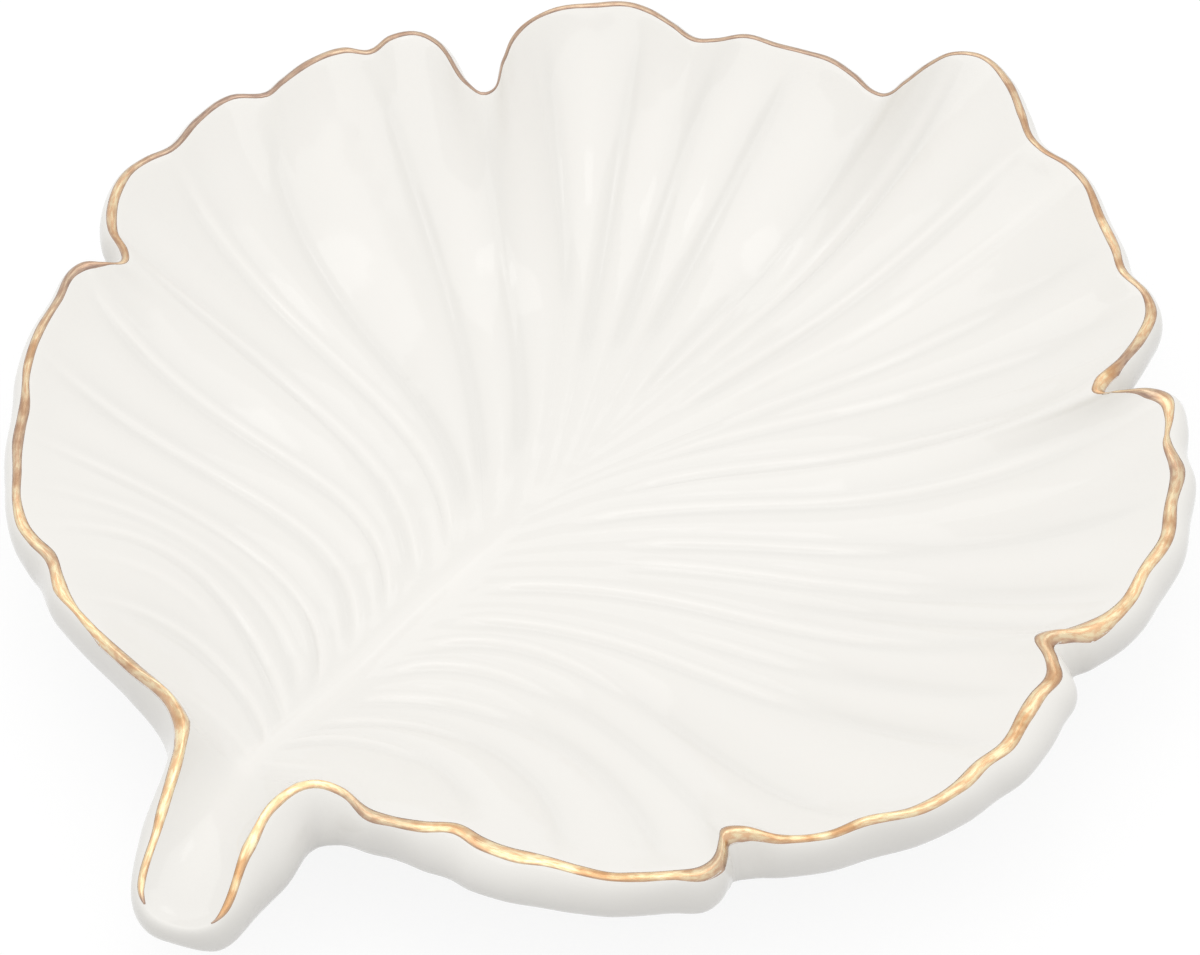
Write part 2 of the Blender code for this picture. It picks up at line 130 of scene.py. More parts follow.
# The lip is fullest where the stem's right side joins the leaf, and leanest just left of the stem and in the
# left back notch: how many times LIP_BULGE it bulges at places counted in vein pairs, where -3 is the stem's
# tip, -2 its shoulder, -1 its neck and 0 the first pair.
RIGHT_FULLNESS = (
    (-3, 0.9), (-2.3, 0.75), (-2, 0.8), (-1.5, 1.5), (-1, 2.3), (-0.5, 2.8), (0, 2.4), (0.6, 1.3),
    (1.3, 0.7), (1.9, 1.7), (2.5, 1.9), (3.5, 1.3), (4.2, 1.0), (5.5, 1.0), (6.2, 0.75), (7.3, 2.0),
    (8.3, 1.4), (9.9, 1.4), (10.4, 1.9), (10.9, 1.0), (12, 1.0),
)
LEFT_FULLNESS = (
    (-3, 0.9), (-2.3, 0.75), (-2, 0.8), (-1.5, 1.3), (-1, 1.5), (0, 0.8), (1.2, 0.4), (1.7, 0.6), (2.2, 0.9),
    (3, 0.8), (4, 1.0), (10.9, 1.0), (11.3, 0.3), (12.1, 0.3), (12.8, 1.0),
)

# How far the lip bridges the notches on the left: those at the side and the back are cut right down.
LEFT_BRIDGES = ((4.5, 1.0), (6.3, 0.15), (12.5, 0.1), (14, 1.0))

# The pressed lines: where each lies, counted in vein pairs as above, how strong it is, and at which shares
# of the way to the rim it starts and turns from a ridge to a soft valley.
RIGHT_LINES = (
    (1, 0.3, 0.05, 0.5), (2, 0.8, 0.05, 0.5), (3.1, 0.8, 0.05, 0.42), (4.2, 0.8, 0.06, 0.42),
    (5, 0.9, 0.06, 0.42), (6, 1.0, 0.06, 0.45), (7, 1.1, 0.07, 0.66), (7.5, 0.9, 0.4, 0.66),
    (8, 1.1, 0.06, 0.8), (8.5, 0.7, 0.5, 0.4), (9.1, 0.9, 0.22, 0.7), (9.67, 1.0, 0.22, 0.62),
    (10.5, 0.9, 0.12, 0.9), (11.3, 0.9, 0.2, 0.85), (12.5, 0.8, 0.2, 0.85), (13.3, 0.8, 0.3, 0.8),
    (14.2, 0.4, 0.3, 1.3), (15, 1.0, 0.22, 1.3), (16.2, 0.7, 0.28, 1.3), (17, 0.8, 0.15, 0.5),
)
LEFT_LINES = (
    (1, 0.3, 0.03, 1.3), (2.15, 1.0, 0.02, 1.3), (2.7, 0.4, 0.5, 1.3), (3.15, 1.0, 0.03, 1.3),
    (3.6, 0.8, 0.1, 1.3), (4.15, 1.1, 0.05, 1.3), (5.25, 1.1, 0.06, 1.3), (6.25, 1.1, 0.06, 1.3),
    (7.25, 0.9, 0.08, 1.3), (8.3, 0.9, 0.08, 1.3), (9, 1.2, 0.1, -0.3), (10, 1.1, 0.12, -0.3),
    (11, 1.2, 0.15, -0.3), (12.15, 0.7, 0.4, -0.3), (13, 0.9, 0.28, -0.3), (14.35, 1.1, 0.3, -0.3),
    (15.5, 1.2, 0.32, -0.3), (17, 0.8, 0.15, 0.5),
)
LEAST_FOLD = 0.7

# The midrib in millimetres of the leaf's drawing, from the blade's base to the last root, and how far up the
# drawing its ridge leaves the stem, starts to fade and is gone.
MIDRIB = (
    (-0.5, -56), (-2.2, -51), (-2.9, -44), (-3, -30), (-2.6, -18), (-2, -8), (-1.3, 2), (-1, 8), (-0.95, 14),
)
RIDGE_PLACES = (-56, -26, 0)

# Vein pairs from the stem to the tip: where the pair leaves the midrib, and its pleats from the last pair.
ROOTS = (
    (-54, 1), (-51.5, 1), (-48.5, 2), (-44.5, 2), (-40, 2), (-33.5, 2), (-28, 2), (-22, 2), (-16, 2),
    (-12, 2), (-9, 3), (-5, 2), (-1, 2), (2, 2), (5, 2), (7, 2), (9.5, 2), (12, 2),
)

# One side's veins in the same order: two points that the vein runs through, and then the rim's points from
# the last vein's end to its own.
RIGHT_VEINS = (
    ((1.8, -53.6), (4.6, -53.8), ((6, -58.5), (7.1, -55))),
    ((3, -49), (9, -49), ((8.8, -53.2), (11.8, -52.7), (16, -53.8))),
    ((5.5, -40.5), (17, -41.5), ((18.5, -53.2), (21.5, -52), (24.5, -50.2))),
    ((9, -34.3), (23.7, -36.5), ((28, -50.3), (31.5, -49.7), (35, -48.3))),
    ((12, -29), (30, -31.5), ((38.5, -47.3), (41.5, -46.2), (44, -44.5))),
    ((12, -22), (31.5, -25), ((46.7, -42.3), (49.2, -40.2), (49.7, -38.1), (48.8, -35.8), (48.1, -34.4))),
    ((16, -16.5), (38, -20), ((49.5, -32.8), (53.5, -31.4), (57.2, -28.2), (59.5, -24))),
    ((18, -11.2), (42, -8.3), ((63, -20), (65, -14.5), (65.3, -10.5), (66.1, -7))),
    ((17, -3.5), (39, 3), ((65.5, -2.5), (65.1, 1), (65.1, 4.3), (63.3, 6.4), (61.4, 8.3))),
    ((18, 2), (42, 12), ((62, 9.9), (64, 11.7), (65.5, 14.8), (65.9, 18.5))),
    ((16.5, 8.5), (39, 24), ((65.1, 23), (64.6, 28.7), (62.3, 33.5), (60.3, 38.3), (57, 41.3))),
    ((11, 13.5), (28, 28.5), ((55.3, 44.8), (53.6, 47), (51.4, 46.9), (48.6, 44.8), (46.8, 43.5))),
    ((11, 20), (29, 38), ((46, 45.3), (46.2, 50), (46, 54))),
    ((10, 24), (23.5, 44.5), ((45, 58), (42.8, 60.2), (38.8, 61.8))),
    ((8, 27.5), (17.5, 50), ((36, 64.7), (32, 68), (27.5, 72))),
    ((5, 29.5), (11, 52), ((24.5, 73.3), (20.5, 73.8), (18, 74.9))),
    ((2.2, 33), (5, 58), ((15, 77.8), (10.5, 81.7), (5.7, 83.5))),
    ((-0.7, 31.7), (-0.3, 51.3), ((2.8, 82), (1.6, 79), (0.9, 74.5), (0.1, 71.1))),
)
LEFT_VEINS = (
    ((-4, -53.4), (-6.4, -53.6), ((-7, -56.2), (-9, -54.2))),
    ((-7, -48.8), (-12.5, -48.8), ((-12, -52.6), (-18, -51.8))),
    ((-10, -43), (-20, -42.3), ((-23, -50.6), (-28.5, -48.8))),
    ((-14, -36), (-27.5, -33.2), ((-31, -47.7), (-35, -44.6), (-38, -43.8))),
    ((-15.3, -26.8), (-32, -26), ((-40.5, -42.7), (-43.5, -40), (-46, -36.8), (-49, -33))),
    ((-18, -20), (-36.5, -20), ((-52, -28), (-55.5, -23.2))),
    ((-19, -12.8), (-39, -12.8), ((-58, -18), (-59.5, -12.5), (-60.9, -8.3))),
    ((-18.5, -7.2), (-38, -2.4), ((-60.5, -6.3), (-58.8, -5.1), (-57.1, -3.6))),
    ((-20, 0), (-43, 5), ((-58.2, -2), (-61.5, 0), (-64.7, 4.3), (-66, 8.5))),
    ((-20, 5), (-41.5, 14.5), ((-65.5, 11.8), (-64.3, 14.8), (-64.8, 20.5), (-64, 25.8), (-60.8, 28.7))),
    ((-18, 11), (-36, 27.5), ((-60.6, 31.5), (-60, 36.3), (-58, 40.3), (-55.2, 41.8))),
    ((-13.5, 14.5), (-26.5, 29.5),
     ((-54.7, 45.3), (-52.8, 47.6), (-50, 47.8), (-42.3, 43.9), (-39.4, 43.9))),
    ((-14, 23), (-28, 42), ((-41.3, 50.3), (-42.6, 54), (-42.7, 57))),
    ((-11.5, 25), (-22.5, 46.5), ((-41.2, 61.2), (-38, 64.2), (-34.7, 66.7), (-32, 67.2))),
    ((-9, 26.5), (-17.5, 47), ((-28, 66.7), (-24.2, 66.1))),
    ((-7, 28), (-12.5, 49.5), ((-22.2, 67.4), (-19.5, 70.2), (-15.5, 71))),
    ((-4.2, 30.5), (-7.5, 51.5), ((-12, 71.9), (-9, 72.5))),
    ((-0.7, 31.7), (-0.3, 51.3), ((-5, 71.8), (-1.4, 70.7), (0.1, 71.1))),
)

body_low, body_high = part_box("dish_body")
ring_low, ring_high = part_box("foot_ring")
CREST_Z = body_high.z
BASE_Z = body_low.z
BLADE_MIDDLE = np.array([(ring_low.x + ring_high.x) / 2, (ring_low.y + ring_high.y) / 2])
STEM_WAY = np.array([math.sin(STEM_LEAN), -math.cos(STEM_LEAN)])

drawn_rim = np.array([point for side in (LEFT_VEINS, RIGHT_VEINS) for vein in side for point in vein[2]])
drawn_rim = drawn_rim[drawn_rim[:, 1] >= min(RIGHT_VEINS[1][2][-1][1], LEFT_VEINS[1][2][-1][1])]
drawn_low, drawn_high = drawn_rim.min(axis=0), drawn_rim.max(axis=0)


def placed(points):
    """Points of the drawing, in metres of the frame."""
    scale = np.array([BLADE_WIDTH, BLADE_LENGTH]) / (drawn_high - drawn_low)
    return (np.array(points, dtype=float) - (drawn_low + drawn_high) / 2) * scale + BLADE_MIDDLE


def ease(x):
    """A smooth step from 0 to 1."""
    x = np.clip(x, 0.0, 1.0)
    return x * x * (3 - 2 * x)


def curve_through(points, closed):
    """A smooth curve through the points, and each point's place in it."""
    points = [Vector((x, y)) for x, y in points]
    count = len(points)
    ways = []
    for i, here in enumerate(points):
        before = points[i - 1] if closed or i else here - (points[1] - here)
        after = points[(i + 1) % count] if closed or i < count - 1 else here + (here - before)
        ways.append(((here - before).normalized() + (after - here).normalized()).normalized())
    path, places = [], []
    for i in range(count if closed else count - 1):
        j = (i + 1) % count
        reach = (points[j] - points[i]).length / 3
        leaving = points[i] + ways[i] * reach
        coming = points[j] - ways[j] * reach
        places.append(len(path))
        path += interpolate_bezier(points[i], leaving, coming, points[j], CURVE_STEPS + 1)[:-1]
    places.append(len(path))
    path.append(points[0] if closed else points[-1])
    return np.array(path), places


def along(path, shares):
    """Points of a path at shares of its length."""
    reach = np.concatenate(([0.0], np.cumsum(np.linalg.norm(np.diff(path, axis=0), axis=1))))
    return np.stack([np.interp(shares * reach[-1], reach, path[:, k]) for k in (0, 1)], axis=1)


def stem_point(reach, side):
    """A point on the stem, reach metres from the blade's base and side metres to the right of its middle."""
    return placed(MIDRIB[0]) + STEM_WAY * reach + np.array([-STEM_WAY[1], STEM_WAY[0]]) * side


STEM_TIP = stem_point(STEM_LENGTH, 0.0)

# A column's place is counted in pleats from the first vein, and on the stem in its three sections below 0.
# Its pair is the same place counted in vein pairs.
VEIN_PLACES = np.concatenate(([-3, -2, -1, 0], np.cumsum([pleats for _, pleats in ROOTS[1:]]))).astype(float)
SECTION_STEPS = [TIP_STEPS, STEM_STEPS, BASE_STEPS] + [STEPS_PER_PLEAT * pleats for _, pleats in ROOTS[1:]]
SIDE_STEPS = sum(SECTION_STEPS)
COLUMNS = 2 * SIDE_STEPS
marks = np.concatenate(([0], np.cumsum(SECTION_STEPS)))
side_place = np.interp(np.arange(SIDE_STEPS + 1), marks, VEIN_PLACES)
PLACE = np.concatenate([side_place, side_place[-2:0:-1]])
PAIR = np.interp(PLACE, VEIN_PLACES, np.arange(len(VEIN_PLACES)) - 3)
ON_LEFT = np.arange(COLUMNS) > SIDE_STEPS


def side_plan(veins, stem, side):
    """One side's rim points, and which of them end a vein, from the stem's tip to the leaf's. The side is 1
    on the right and -1 on the left."""
    shoulder, neck, rounding = stem
    points = []
    for angle in CORNER_ANGLES:
        reach = STEM_LENGTH - rounding * (1 - math.cos(angle))
        points.append(stem_point(reach, side * shoulder * math.sin(angle)))
    points.append(stem_point(STEM_LENGTH / 2, side * neck))
    ends = [0, 2, 3]
    for vein in veins:
        points += list(placed(vein[2]))
        ends.append(len(points) - 1)
    return points, ends


right, right_ends = side_plan(RIGHT_VEINS, RIGHT_STEM, 1)
left, left_ends = side_plan(LEFT_VEINS, LEFT_STEM, -1)
outline = right + left[-2:0:-1]
path, places = curve_through(outline, closed=True)
knots = [places[i] for i in right_ends] + [places[len(outline) - i] for i in left_ends[-2::-1]]
spans = [(a, b, 1) for a, b in zip(marks, marks[1:])]
spans += [(b, a, -1) for a, b, _ in spans[::-1]]
stretches = []
for (a, b, step), start, end in zip(spans, knots, knots[1:]):
    shares = (side_place[a:b:step] - side_place[a]) / (side_place[b] - side_place[a])
    stretches.append(along(path[start:end + 1], shares))
RIM = np.concatenate(stretches)

stem_reach = (STEM_LENGTH - TIP_INSET, STEM_LENGTH - SHOULDER_INSET, NECK_ROOT * STEM_LENGTH)
root_marks = [stem_point(reach, 0.0)[1] for reach in stem_reach] + [placed((0.0, y))[1] for y, _ in ROOTS]
root_y = np.interp(PLACE, VEIN_PLACES, root_marks)
stem_middle = [STEM_TIP, stem_point(STEM_LENGTH / 2, 0.0)]
rib_line, _ = curve_through(stem_middle + list(placed(MIDRIB)), closed=False)
ROOT = np.stack([np.interp(root_y, rib_line[:, 1], rib_line[:, 0]), root_y], axis=1)

FIRST, SECOND = np.empty_like(RIM), np.empty_like(RIM)
for veins, around in ((RIGHT_VEINS, ~ON_LEFT), (LEFT_VEINS, ON_LEFT)):
    for third, passing in ((0, FIRST), (1, SECOND)):
        near_tip = marks[:3] if veins is RIGHT_VEINS else -marks[:3]
        stem_part = ROOT[near_tip] + (RIM[near_tip] - ROOT[near_tip]) * (third + 1) / 3
        guide = np.concatenate([stem_part, placed([vein[third] for vein in veins])])
        for axis in (0, 1):
            passing[around, axis] = np.interp(PLACE[around], VEIN_PLACES, guide[:, axis])


def spread(values, width):
    """Values round the rim, each averaged with its neighbours within about width metres."""
    step = np.linalg.norm(RIM - np.roll(RIM, 1, axis=0), axis=1)
    place = np.cumsum(step)
    away = np.abs(place[:, None] - place[None, :])
    away = np.minimum(away, place[-1] - away)
    weight = np.exp(-0.5 * (away / width) ** 2) * (step + np.roll(step, -1))[None, :]
    return (weight @ values) / weight.sum(axis=1).reshape((-1,) + (1,) * (values.ndim - 1))


way = np.roll(RIM, -1, axis=0) - np.roll(RIM, 1, axis=0)
way /= np.linalg.norm(way, axis=1)[:, None]
way = spread(np.stack([way[:, 1], -way[:, 0]], axis=1), LIP_EASING)
SHARE = np.linalg.norm(way, axis=1)
OUTWARD = way / SHARE[:, None]

# How far the lip's underside bridges the rim's notches and waves, in plan. At the stem's tip it is drawn in.
bridged = spread(RIM, NOTCH_FILL) - RIM
filled = ease(1 + ((bridged * OUTWARD).sum(axis=1) + WAVE_FILL) / (3 * WAVE_FILL))
filled *= np.where(ON_LEFT, np.interp(PAIR, *zip(*LEFT_BRIDGES)), 1.0)
filled = np.maximum(filled, TIP_FILL * ease((TIP_FILL_START - PAIR) / TIP_FILL_EASING))
FILL = spread(bridged * filled[:, None], FILL_EASING)

fullness = np.where(ON_LEFT, np.interp(PAIR, *zip(*LEFT_FULLNESS)), np.interp(PAIR, *zip(*RIGHT_FULLNESS)))
BULGE = LIP_BULGE * SHARE * spread(fullness, LIP_EASING / 2)
half_way = (TIP_BELLY + SIDE_BELLY) / 2
belly = np.interp(PLACE, VEIN_PLACES[:5], (TIP_BELLY, half_way, SIDE_BELLY, SIDE_BELLY, 0.0))
BELLY = spread(belly, LIP_EASING / 2)


def stem_fall(points):
    """How far the rim has dropped at points of the plan: nothing on the blade, most at the stem's tip."""
    reach = (points - placed(MIDRIB[0])) @ STEM_WAY / STEM_LENGTH
    return STEM_DROP * np.clip(reach, 0.0, None) ** STEM_CURVE


def floor_height(points):
    """The height of the bowl's floor, which rises into the stem's trough, at points of the plan."""
    reach = np.linalg.norm(points - STEM_TIP, axis=-1)
    depth = SPOUT_DEPTH + (BOWL_DEPTH - SPOUT_DEPTH) * ease(reach / SPOUT_LENGTH)
    return CREST_Z - depth - stem_fall(points)


CREST = CREST_Z - spread(np.where(PLACE <= 0, stem_fall(RIM), 0.0), LIP_EASING / 2)


def bowl_plan(t):
    """Where the veins lie in plan at shares t of their length, for rows of shares or one share a column.
    Each is a cubic that starts at its root, passes its two points at the thirds and ends on the rim."""
    t = t[..., None]
    return (-4.5 * (t - 1 / 3) * (t - 2 / 3) * (t - 1) * ROOT + 13.5 * t * (t - 2 / 3) * (t - 1) * FIRST
            - 13.5 * t * (t - 1 / 3) * (t - 1) * SECOND + 4.5 * t * (t - 1 / 3) * (t - 2 / 3) * RIM)


even_rows = np.linspace(0.0, 1.0, BOWL_ROWS)
VEIN_LENGTH = np.linalg.norm(np.diff(bowl_plan(even_rows[:, None]), axis=0), axis=2).sum(axis=0)
SMOOTH_LENGTH = spread(VEIN_LENGTH, SLOPE_EASING)


def bowl_height(t):
    """The bowl's height without its relief: a slope that eases into the floor, and a softened crest."""
    to_rim = (1 - t) * SMOOTH_LENGTH
    left = 1 - np.clip(to_rim / np.minimum(SLOPE_WIDTH, SMOOTH_LENGTH), 0.0, 1.0)
    share = (1 - left ** 2) * to_rim / (to_rim + LIP_ROUNDING * np.exp(-to_rim / (3 * LIP_ROUNDING)))
    return CREST + (floor_height(bowl_plan(t)) - CREST) * share


def line_relief(t, gap):
    """The pressed lines at the shares t, where two veins lie gap apart: each is a ridge with a groove on its
    stem side and a weaker one on its other side, or a soft valley."""
    relief = np.zeros_like(gap)
    room = ease((gap - LINE_START_GAP) / (LINE_FULL_GAP - LINE_START_GAP))
    width = np.clip(LINE_SHARE * gap, LEAST_LINE_WIDTH, LINE_WIDTH)
    for lines, around in ((RIGHT_LINES, ~ON_LEFT), (LEFT_LINES, ON_LEFT)):
        for line, strength, start, turn in lines:
            away = (PAIR - line) * gap / width
            near_groove = np.exp(-(away + GROOVE_PLACE) ** 2)
            far_groove = FAR_GROOVE * np.exp(-(away - GROOVE_PLACE) ** 2)
            ridge = LINE_HEIGHT * np.exp(-away ** 2) - GROOVE_DEPTH * (near_groove + far_groove)
            valley = -VALLEY_DEPTH * np.exp(-(away * width / VALLEY_WIDTH) ** 2)
            turned = ease((t - turn) / LINE_TURN + 0.5)
            shown = strength * around * ease((t - start) / LINE_RISE)
            relief += room * shown * (ridge + (valley - ridge) * turned)
    return relief


def fold_phase(lines):
    """How many strong lines lie between each column and the leaf's tip, as a number below 0."""
    strong = [line for line, strength, _, _ in lines if strength >= LEAST_FOLD]
    return np.interp(PAIR, [0.0] + strong, np.arange(len(strong) + 1) - len(strong))


def bowl_surface(t):
    """Rows of the bowl at the shares t, and a mask from 0 to 1 at each point that paints highlight on the
    ridges and shade in the grooves into the glaze's colour, along with its pooling.
    """
    t = t[:, None]
    plan = bowl_plan(t)
    beside = np.roll(plan, -1, axis=1) - np.roll(plan, 1, axis=1)
    ahead = np.gradient(plan, axis=0)
    ahead /= np.linalg.norm(ahead, axis=2)[:, :, None]
    apart = np.abs(beside[:, :, 0] * ahead[:, :, 1] - beside[:, :, 1] * ahead[:, :, 0])
    phase = np.where(ON_LEFT, fold_phase(LEFT_LINES), fold_phase(RIGHT_LINES))
    turned = np.abs(np.roll(PAIR, -1) - PAIR) + np.abs(PAIR - np.roll(PAIR, 1))
    folded = np.abs(np.roll(phase, -1) - phase) + np.abs(phase - np.roll(phase, 1))

    to_lip = ease((1 - t) * VEIN_LENGTH / RELIEF_FALL)
    lines = line_relief(t, apart / turned) * to_lip
    folds = FOLD_HEIGHT * ease(apart / np.maximum(folded, 1e-6) / FOLD_PITCH)
    folds *= (np.sin(math.pi * phase) ** 2 - 0.5) * (PAIR > 0) * ease(t * VEIN_LENGTH / FOLD_RISE) * to_lip

    off_rib = np.abs(plan[:, :, 0] - np.interp(plan[:, :, 1], rib_line[:, 1], rib_line[:, 0]))
    low, fading, gone = placed([(0, y) for y in RIDGE_PLACES])[:, 1]
    on_blade = ease((plan[:, :, 1] - low) / RIB_EASING)
    rib_force = STEM_RIB + (1 - STEM_RIB) * on_blade
    rib_force *= ease((gone - plan[:, :, 1]) / (gone - fading))
    rib_force *= ease((plan[:, :, 1] - STEM_TIP[1]) / STEM_RIB_RISE)
    rib_width = STEM_RIB_WIDTH + (RIB_WIDTH - STEM_RIB_WIDTH) * on_blade
    lines += RIB_HEIGHT * rib_force * np.exp(-(off_rib / rib_width) ** 2)
    # Painted shade: the glaze on the stem is painted darker, towards the groove colour, than on the blade.
    pooled_and_shaded = 0.5 + STEM_SHADE * (1 - on_blade)
    # Painted highlight and shade: ridges are painted lighter and grooves and folds darker in the glaze's
    # colour, along with its pooling.
    hollow = np.clip(pooled_and_shaded - (lines + FOLD_SHADE_SHARE * folds) / (2 * POOL_SHADE_DEPTH), 0.0, 1.0)
    return np.concatenate([plan, (bowl_height(t) + folds + lines)[:, :, None]], axis=2), hollow


def lip_surface(angles):
    """Rows of the rounded lip: at 90 degrees the crest, at 0 its outermost line, at -90 its underside."""
    rows = []
    for angle in angles:
        down = (1 - math.sin(angle)) / 2
        plan = RIM + OUTWARD * (BULGE * math.cos(angle))[:, None] + FILL * down
        rows.append(np.concatenate([plan, (CREST - (LIP_HEIGHT + BELLY) * down)[:, None]], axis=1))
    return np.array(rows)


def under_surface(lowest_lip):
    """Rows from the lip's underside in to the flat base, whose outline is an oval just outside the foot."""
    even = 2 * math.pi / COLUMNS
    away = RIM - BLADE_MIDDLE
    angle = np.unwrap(np.arctan2(away[:, 1], away[:, 0]))
    turn = np.maximum(np.diff(angle, append=angle[0] + 2 * math.pi), LEAST_TURN * even)
    turn *= 2 * math.pi / turn.sum()
    off_even = angle[0] + np.concatenate(([0.0], np.cumsum(turn - even)[:-1]))
    angle = spread(off_even, BASE_EASING) + np.arange(COLUMNS) * even
    half_x = (ring_high.x - ring_low.x) / 2 + BASE_MARGIN
    half_y = (ring_high.y - ring_low.y) / 2 + BASE_MARGIN
    oval = np.stack([half_x * np.cos(angle), half_y * np.sin(angle), np.full(COLUMNS, BASE_Z)], axis=1)
    oval[:, :2] += BLADE_MIDDLE
    below_stem = ease(1 - PLACE / UNDERCUT_PLACES)[:, None]
    middle = (lowest_lip + oval) / 2
    undercut = lowest_lip[:, :2] + STEM_UNDERCUT * (ROOT - lowest_lip[:, :2])
    middle[:, :2] += below_stem * (undercut - middle[:, :2])
    rows = []
    for share in np.linspace(0.0, 1.0, UNDER_ROWS + 1)[1:]:
        row = (1 - share) ** 2 * lowest_lip + 2 * share * (1 - share) * middle + share ** 2 * oval
        sunk = math.sin(share * math.pi / 2) * (1 - below_stem[:, 0]) + share ** 3 * below_stem[:, 0]
        row[:, 2] = lowest_lip[:, 2] + (BASE_Z - lowest_lip[:, 2]) * sunk
        rows.append(row)
    return np.array(rows)


def rolled_grid(rows, **marked):
    """A bmesh from a flat grid with one grid line for each row, closed round, its open ends filled. Marked
    values become attributes, from the first row on."""
    rows = np.concatenate([rows, rows[:, :1]], axis=1) if len(rows[0]) == COLUMNS else rows
    across, around = len(rows) - 1, len(rows[0]) - 1
    skin = bmesh.new()
    layers = [(skin.verts.layers.float.new(name), values) for name, values in marked.items()]
    bmesh.ops.create_grid(skin, x_segments=across, y_segments=around, size=0.5)
    for vertex in skin.verts:
        row = round((vertex.co.x + 0.5) * across)
        place = round((vertex.co.y + 0.5) * around)
        vertex.co = rows[row, place]
        for layer, values in layers:
            vertex[layer] = values[row, place % len(values[0])] if row < len(values) else 0.0
    bmesh.ops.remove_doubles(skin, verts=skin.verts, dist=WELD)
    bmesh.ops.holes_fill(skin, edges=[edge for edge in skin.edges if edge.is_boundary], sides=0)
    bmesh.ops.recalc_face_normals(skin, faces=skin.faces)
    return skin


def piece_from(name, skin, material):
    """The finished piece: its mesh at its place in the frame, shaded smooth, on the one body."""
    mesh = bpy.data.meshes.new(name)
    skin.to_mesh(mesh)
    skin.free()
    mesh.shade_smooth()
    mesh.materials.append(material)
    piece = bpy.data.objects.new(name, mesh)
    bpy.context.collection.objects.link(piece)
    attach(piece, "root")
    return piece


class Finish:
    """A procedural material and short calls for its nodes."""

    def __init__(self, name):
        self.material = bpy.data.materials.new(name)
        self.material.use_nodes = True
        self.tree = self.material.node_tree
        self.shader = self.tree.nodes["Principled BSDF"]

    def feed(self, socket, value):
        if isinstance(value, bpy.types.NodeSocket):
            self.tree.links.new(value, socket)
        else:
            socket.default_value = value

    def node(self, kind, inputs, **settings):
        node = self.tree.nodes.new(kind)
        for key, value in settings.items():
            setattr(node, key, value)
        for key, value in inputs.items():
            self.feed(node.inputs[key], value)
        return node

    def noise(self, scale, detail=2.0, roughness=0.5, place=None):
        place = place or self.node("ShaderNodeTexCoord", {}).outputs["Object"]
        inputs = {"Vector": place, "Scale": scale, "Detail": detail, "Roughness": roughness}
        return self.node("ShaderNodeTexNoise", inputs).outputs["Fac"]

    def range(self, value, low, high, to_low, to_high):
        inputs = {"Value": value, "From Min": low, "From Max": high, "To Min": to_low, "To Max": to_high}
        return self.node("ShaderNodeMapRange", inputs).outputs["Result"]

    def blend(self, share, one, other):
        inputs = {"Factor": share, "A": one, "B": other}
        node = self.node("ShaderNodeMix", {}, data_type="RGBA")
        for socket in node.inputs:
            if socket.name in inputs and socket.enabled:
                self.feed(socket, inputs[socket.name])
        return [socket for socket in node.outputs if socket.enabled][0]

    def attribute(self, name):
        return self.node("ShaderNodeAttribute", {}, attribute_name=name).outputs["Fac"]

    def set(self, **values):
        for key, value in values.items():
            self.feed(self.shader.inputs[key.replace("_", " ").title().replace("Ior", "IOR")], value)

    def bump(self, height, distance, strength, under=None):
        inputs = {"Height": height, "Distance": distance, "Strength": strength}
        if under is not None:
            inputs["Normal"] = under
        return self.node("ShaderNodeBump", inputs).outputs["Normal"]


def glaze_finish():
    """Clear glaze over white porcelain: its colour is painted lighter on the ridges and cooler, greyer and
    darker in the grooves, as painted highlight and shade on top of the glaze's own pooling, and it is never
    dead flat.
    """
    glaze = Finish("white_glaze")
    ridge_highlight_colour = (0.940, 0.918, 0.876, 1.0)
    groove_shade_colour = (0.876, 0.858, 0.818, 1.0)
    warm_colour = (0.915, 0.888, 0.838, 1.0)
    # Painted highlight on the ridges and painted shade in the grooves, mixed into the glaze's pooling
    # colour.
    pooled_and_shaded = glaze.blend(glaze.attribute("hollow"), ridge_highlight_colour, groove_shade_colour)
    cloud = glaze.range(glaze.noise(scale=28.0, detail=3.0), low=0.35, high=0.7, to_low=0.0, to_high=0.25)
    shine = glaze.range(glaze.noise(scale=160.0), low=0.3, high=0.7, to_low=0.05, to_high=0.11)
    swell = glaze.bump(glaze.noise(scale=190.0, detail=1.0), distance=0.0003, strength=0.3)
    surface = glaze.bump(glaze.noise(scale=1400.0), distance=0.00003, strength=0.2, under=swell)
    glaze.set(base_color=glaze.blend(cloud, pooled_and_shaded, warm_colour), ior=1.52, roughness=shine, normal=surface)
    return glaze.material


bowl_t = EVEN_SHARE * even_rows + (1 - EVEN_SHARE) * (1 - np.cos(math.pi * even_rows)) / 2
lip_angles = np.radians(np.linspace(90, LIP_END, LIP_ROWS))
bowl_rows, bowl_hollow = bowl_surface(bowl_t)
lip_rows = lip_surface(lip_angles[1:])
# Over the lip the painted shade gives way to the lighter ridge colour.
lip_hollow = bowl_hollow[-1] * ((1 + np.sin(lip_angles[1:, None])) / 2) ** 2
skin_rows = np.concatenate([bowl_rows, lip_rows, under_surface(lip_rows[-1])])
skin = rolled_grid(skin_rows, hollow=np.concatenate([bowl_hollow, lip_hollow]))
casting = piece_from("leaf_casting", skin, glaze_finish())
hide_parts("dish_body")


# The gilt line: liquid gold brushed by hand along the crest after glazing, and fired on. It is a thin film
# that follows the lip, a little wider and narrower as the brush went, with a thin brownish edge, and it
# starts and ends in a point on either side of the stem's bare tip.
GILT_WIDTH = 0.0016
GILT_SHARE = 0.7
GILT_FILM = 0.00004
GILT_SINK = 0.0001
GILT_POINT = 0.0025
POINT_WIDTH = 0.22
OUTER_EVEN = 0.25
WORN_END = 0.0018
WORN_EDGE = 0.7
STREAK_LENGTH = 0.004
GILT_ACROSS = 8

# The shares of the stem tip's columns that stay bare on each side of its middle.
RIGHT_BARE = 0.87
LEFT_BARE = 0.75

# The small waves in the line's width: how much, how long and from where.
BRUSH_WAVES = ((0.07, 0.0023, 1.0), (0.05, 0.00094, 0.0))

